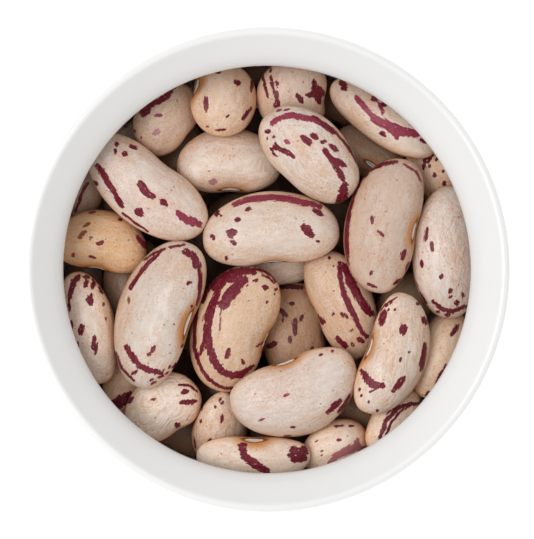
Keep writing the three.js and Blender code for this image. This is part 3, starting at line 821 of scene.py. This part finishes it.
def bean_skin(b, coarseness):
    """The finished skin of one bean: points, faces and what its coat needs to know."""
    chance = np.random.default_rng(100 + b["number"])
    length, width, thickness = b["form"][:3]
    crowding, eye_share, no_eye = 0.35, 1.9, 20.0
    rings = int(length / (ring_spacing * coarseness))
    sides = int(width / (side_spacing * coarseness))
    up = b["turned"].T @ (0, 0, 1)
    top = math.atan2(up[2], up[1])
    step = np.arange(sides) * 2 * math.pi / sides - math.pi
    angles = top + step - crowding * np.sin(step)
    grid = bean_points(rings, angles, *b["form"])
    u = grid[..., 0] / (length / 2)
    wave = np.zeros_like(u)
    for _ in range(4):
        lobes = chance.integers(1, 4)
        wave += chance.uniform(*lump_heights) * np.sin(
            chance.uniform(1.5, 4.0) * u + lobes * angles + chance.uniform(0, 6.3))
    girth = np.sqrt(np.clip(1 - u * u, 0, 1))
    swell = 1 + wave * girth / (width / 2)
    axis_y = b["form"][3] * (bend_centre - u * u)
    grid[..., 1] = axis_y + (grid[..., 1] - axis_y) * swell
    grid[..., 2] *= swell
    on_eye_side = grid[..., 1] < axis_y
    eye_half_length, eye_half_width = b["eye"][0] / eye_share, b["eye"][1] / eye_share
    reach = np.hypot(grid[..., 0] / eye_half_length, grid[..., 2] / eye_half_width)
    lift = eye_rim_height * np.exp(-((reach - eye_rim_at) / eye_rim_width) ** 2)
    lift -= scar_depth * np.exp(-reach ** 4)
    in_slit = np.abs(grid[..., 0]) < eye_half_length * slit_share
    lift -= slit_depth * np.exp(-(grid[..., 2] / slit_half_width) ** 2) * in_slit
    grid[..., 1] -= np.where(on_eye_side, lift, 0)
    local = np.vstack([grid[1:-1].reshape(-1, 3), grid[0, :1], grid[-1, :1]])
    placed = local @ b["turned"].T + b["middle"]
    facing = facing_up(local, b)
    depth = bowl_height - placed[:, 2]
    seen = placed[:, :2] * ((viewing_height + level_depth) / (viewing_height + depth))[:, None]
    distance, ink, rag = inked(b, seen, facing, local, chance)
    eye = np.stack([
        local[:, 0] / eye_half_length,
        local[:, 2] / eye_half_width,
        np.where(local[:, 1] < 0.1 * width, 0.0, no_eye),
    ], -1)
    ring = np.arange(rings - 1)[:, None] * sides
    side = np.arange(sides)[None, :]
    after = (side + 1) % sides
    body = np.stack([ring + side, ring + after, ring + sides + after, ring + sides + side], -1)[:-1]
    first, last, end_ring = (rings - 1) * sides, (rings - 1) * sides + 1, (rings - 2) * sides
    start = np.stack([np.full(sides, first), after[0], side[0]], -1)
    end = np.stack([np.full(sides, last), end_ring + side[0], end_ring + after[0]], -1)
    # Painted warm light on the flanks and painted shade on the verge, by how far each point faces
    # up.
    flank = np.clip((flank_from - facing) / flank_from, 0, 1)[:, None]
    verge = np.clip((verge_from - facing) / verge_width, 0, 1)[:, None]
    habit = (b["amber"], b["veins"], b["coat"][1] / usual_coat[1])
    return dict(
        points=placed, quads=body.reshape(-1, 4), fans=np.vstack([start, end]),
        grain=local + chance.uniform(-400, 400, 3), distance=distance, ink=ink, rag=rag, eye=eye,
        coat=b["coat"] * np.array(painted_flank_warmth) ** flank * np.array(painted_verge_shade) ** verge,
        habit=np.tile(habit, (len(local), 1)),
    )


def joined_beans(name, members, coarseness):
    """Several beans as one mesh, with what their coats need stored on its points.

    A coarseness of 1 is for the beans in full view, and a larger one makes a lighter mesh.
    """
    skins = [bean_skin(b, coarseness) for b in members]
    points = np.vstack([s["points"] for s in skins]) * MM
    firsts = np.cumsum([0] + [len(s["points"]) for s in skins[:-1]])
    corners = np.concatenate([(s[key] + first).ravel() for s, first in zip(skins, firsts)
                              for key in ("quads", "fans")])
    sizes = np.concatenate([np.repeat((4, 3), (len(s["quads"]), len(s["fans"]))) for s in skins])
    mesh = bpy.data.meshes.new(name)
    mesh.vertices.add(len(points))
    mesh.vertices.foreach_set("co", points.ravel())
    mesh.loops.add(len(corners))
    mesh.loops.foreach_set("vertex_index", corners)
    mesh.polygons.add(len(sizes))
    mesh.polygons.foreach_set("loop_start", np.concatenate([[0], np.cumsum(sizes)[:-1]]))
    mesh.update(calc_edges=True)
    mesh.validate()
    mesh.shade_smooth()
    for key in ("distance", "rag"):
        values = np.concatenate([s[key] for s in skins])
        mesh.attributes.new(key, "FLOAT", "POINT").data.foreach_set("value", values)
    for key in ("grain", "eye", "habit", "coat", "ink"):
        values = np.vstack([s[key] for s in skins])
        mesh.attributes.new(key, "FLOAT_VECTOR", "POINT").data.foreach_set("vector", values.ravel())
    return put(name, mesh)


def seed_coat():
    """The satin coat of all the beans, from what each keeps on the points of its skin."""
    finish = Finish("seed_coat")

    def stored(key, out="Vector"):
        return finish.node("ShaderNodeAttribute", {"attribute_name": key}, {}, out)

    grain, eye, habit = stored("grain"), stored("eye"), stored("habit")
    eye_along, eye_across, eye_away = (finish.axis(eye, letter) for letter in "XYZ")
    amber, veined, lightness = (finish.axis(habit, letter) for letter in "XYZ")

    def shade(*chart):
        """A colour of the paint chart, darker on the darker beans."""
        settings = {"operation": "SCALE"}
        return finish.node("ShaderNodeVectorMath", settings, {0: paint(*chart), "Scale": lightness})

    def grained(along, across, **settings):
        """Noise that is drawn out along the bean."""
        return finish.noise(finish.scaled(grain, (along, across, across)), **settings)

    def freckles(scale, largest):
        """Round dots of many sizes, one in each cell."""
        cells = {"Vector": grain, "Scale": scale}
        gap = finish.node("ShaderNodeTexVoronoi", {}, cells, "Distance")
        draw = finish.node("ShaderNodeTexVoronoi", {}, cells, "Color")
        size = finish.node("ShaderNodeSeparateColor", {}, {0: draw}, "Red")
        return (gap - size * largest + 0.03).fade(0.04, 0.0)

    # Tan and cream patches.
    tan, cream, brown = shade(210, 158, 116), shade(242, 231, 225), shade(150, 92, 60)
    tone = grained(0.16, 0.3, detail=3.0)
    fine_tone = grained(0.6, 1.3, detail=3.0, roughness=0.6)
    streaks = grained(0.42, 1.4, detail=3.0, roughness=0.6)
    # The stored coat already holds the painted warm light on the flanks and the painted shade on
    # the verge.
    coat = finish.mix(tone.fade(0.45, 0.75) * 0.4, stored("coat"), tan)
    coat = finish.mix(streaks.fade(0.52, 0.75) * 0.34, coat, tan)
    coat = finish.mix(fine_tone.fade(0.58, 0.33) * 0.27, coat, cream)

    # Fine wrinkles, which run round the bean in broken rings.
    folds = grained(0.22, 0.34, detail=1.5, roughness=0.4)
    rings = finish.node("ShaderNodeMath", {"operation": "PINGPONG"}, {0: folds * 12.0, 1: 0.5})
    broken = veined * fine_tone.fade(0.35, 0.6)
    vein = rings.fade(0.24, 0.0) * broken
    coat = finish.mix(vein * 0.42, coat, shade(190, 144, 110))

    # Pores and freckles.
    pores = finish.noise(grain, scale=5.0, detail=2.0)
    mottled = pores.fade(0.48, 0.66) * tone.fade(0.3, 0.55)
    coat = finish.mix(mottled * 0.46, coat, shade(196, 140, 98))
    dots = freckles(0.95, 0.15)
    coat = finish.mix(dots * 0.65, coat, brown)
    fine_dots = freckles(2.1, 0.24) * tone.fade(0.34, 0.52)
    coat = finish.mix(fine_dots * 0.6, coat, shade(184, 118, 74))

    # The maroon marks, with torn edges, small holes and paler places.
    jag = grained(0.7, 3.2, detail=2.5, roughness=0.62)
    edge = stored("distance", "Fac") + (jag - 0.5) * stored("rag", "Fac") * 3.2 - 0.03
    holes = grained(1.6, 5.0, detail=1.0).fade(0.7, 0.77)
    inked_in = edge.fade(0.05, -0.05) * (1 - holes * 0.6)
    faded = fine_tone.fade(0.5, 0.75) * 0.12 + pores.fade(0.46, 0.72) * 0.16
    depth_of_ink = finish.mix(faded, stored("ink"), INKS["blush"])
    coat = finish.mix(inked_in, coat, depth_of_ink)

    # The eye: its amber glow, brown rim, white scar and slit.
    reach = (eye_along ** 2.0 + eye_across ** 2.0) ** 0.5 + eye_away
    wobble = reach + (fine_tone - 0.5) * 0.5
    glow_reach = ((eye_along * 0.5) ** 2.0 + (eye_across * 0.26) ** 2.0) ** 0.5 + eye_away
    glow = (glow_reach + (tone - 0.5) * 0.7).fade(1.5, 0.5) * amber
    coat = finish.mix(glow * 0.9 * (1 - inked_in), coat, paint(204, 126, 46))
    rim = wobble.fade(0.85, 1.05) * wobble.fade(1.75, 1.25)
    coat = finish.mix(rim * 0.85, coat, paint(112, 58, 30))
    scar = wobble.fade(1.05, 0.85)
    coat = finish.mix(scar, coat, paint(236, 230, 224))
    slit = eye_across.fade(0.32, 0.12) * eye_across.fade(-0.32, -0.12) * eye_along.fade(0.9, 0.6)
    coat = finish.mix(slit * scar * eye_along.fade(-0.9, -0.6) * 0.55, coat, paint(150, 124, 104))

    dents = grained(0.5, 0.9, detail=2.0)
    relief = dents * 1.2 + pores * 0.1 + rings.fade(0.0, 0.5) * broken * 0.4 - dots * 0.1
    return finish.surface(
        Base_Color=coat,
        Roughness=0.36 + (fine_tone - 0.5) * 0.25 + scar * 0.3,
        Normal=finish.bump(relief, 0.00014),
        IOR=1.45,
        Specular_IOR_Level=0.28,
    )


bed_level = bowl_height - bed_depth
settle(bed_level)
coat_material = seed_coat()
by_depth = {"lowest": [], "middle": [], "top": []}
for b in beans:
    depth = bowl_height - b["home"][2]
    layer = "lowest" if depth >= lowest_from else "middle" if depth > top_to else "top"
    by_depth[layer].append(b)
for piece_name, members, coarseness in (
    ("lowest_beans", by_depth["lowest"], 2.0),
    ("middle_beans", by_depth["middle"], 1.05),
    ("top_beans_left", [b for b in by_depth["top"] if b["home"][0] < 3], 1.0),
    ("top_beans_right", [b for b in by_depth["top"] if b["home"][0] >= 3], 1.0),
):
    piece = joined_beans(piece_name, members, coarseness)
    piece.data.materials.append(coat_material)
    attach(piece, "root")
    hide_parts("beans")


# ---- Packed bed ----------------------------------------------------------------------------
# Under the beans that show lies the rest of the filling, tightly packed and in deep shadow. It
# is one humped solid that fills the bottom of the bowl up to the lowest beans.
bed_gap = 0.1
bed_rings, bed_turns = 60, 180
hump_drop, hump_height = 0.6, 0.25
wall = inner_wall()
under = wall[wall[:, 1] < bed_level][::-1]
under[:, 0] -= bed_gap
under[:, 1] = np.maximum(under[:, 1], bowl_height - well_depth + bed_gap)
bed_profile = np.vstack([
    [(0, under[0, 1]), (4, under[0, 1])], under,
    [(r, bed_level) for r in np.linspace(under[-1, 0] - 0.3, 0, bed_rings)],
])
bed_mesh = turned_mesh("bed", bed_profile, bed_turns)
bed_mesh.flip_normals()
for vertex in bed_mesh.vertices:
    x, y, z = vertex.co / MM
    if z >= bed_level - 1e-6:
        humps = math.sin(x * 0.9 + 1) * math.sin(y * 0.8) + math.sin((x + y) * 0.6)
        vertex.co.z -= (hump_drop - hump_height * humps) * MM
bed_finish = Finish("shadowed_beans")
bed_place = bed_finish.node("ShaderNodeTexCoord", {}, {}, out="Object")
bed_tone = bed_finish.noise(bed_place, scale=250.0, detail=3.0)
# The bed's dark browns are painted shade: beans under the heap, far darker than their own colour.
bed_mesh.materials.append(bed_finish.surface(
    Base_Color=bed_finish.mix(bed_tone.fade(0.35, 0.7), paint(64, 38, 26), paint(110, 76, 54)),
    Roughness=0.6,
    Normal=bed_finish.bump(bed_tone, 0.0004),
))
bed = put("packed_bed", bed_mesh)
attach(bed, "root")
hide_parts("beans")


# ---- Table, light and camera ---------------------------------------------------------------
# The bowl stands on a plain white table, under a white sky and with a soft light from the left.
# The camera looks straight down on it.
table_reach = 1.5
table_glow = 0.45
sky_strength = 0.99
key_left, key_height, key_aim = 0.38, 0.7, 0.02
key_size, key_power = 0.45, 3.15
table_corners = [(x * table_reach, y * table_reach, 0)
                 for x, y in ((-1, -1), (1, -1), (1, 1), (-1, 1))]
table_mesh = bpy.data.meshes.new("table")
table_mesh.from_pydata(table_corners, [], [(0, 1, 2, 3)])
table_finish = Finish("white_table")
table_place = table_finish.node("ShaderNodeTexCoord", {}, {}, out="Object")
table_grain = table_finish.noise(table_place, scale=40.0)
table_mesh.materials.append(table_finish.surface(
    Base_Color=table_finish.mix(table_grain, (0.93, 0.93, 0.93), (0.95, 0.95, 0.95)),
    Roughness=0.7,
    Emission_Color=(1, 1, 1, 1),
    Emission_Strength=table_glow,
))
table = put("table", table_mesh)

key_data = bpy.data.lights.new("key", "AREA")
key_data.size = key_size
key_data.energy = key_power
key = put("key", key_data)
key.location = (-key_left, 0, key_height)
key.rotation_euler = (0, -math.atan2(key_left, key_height - key_aim), 0)

world = bpy.data.worlds.new("studio")
world.use_nodes = True
sky = world.node_tree.nodes["Background"]
sky.inputs["Color"].default_value = (1, 1, 1, 1)
sky.inputs["Strength"].default_value = sky_strength
bpy.context.scene.world = world
bpy.context.scene.view_settings.view_transform = "Standard"

lens = 200.0
sensor = 36.0
frame_height = 66.4
camera_data = bpy.data.cameras.new("camera")
camera_data.lens = lens
camera_data.sensor_width = sensor
camera_data.clip_start = 0.01
camera = put("camera", camera_data)
camera.location = (0, 0, (bowl_height + frame_height * lens / sensor) * MM)
bpy.context.scene.camera = camera
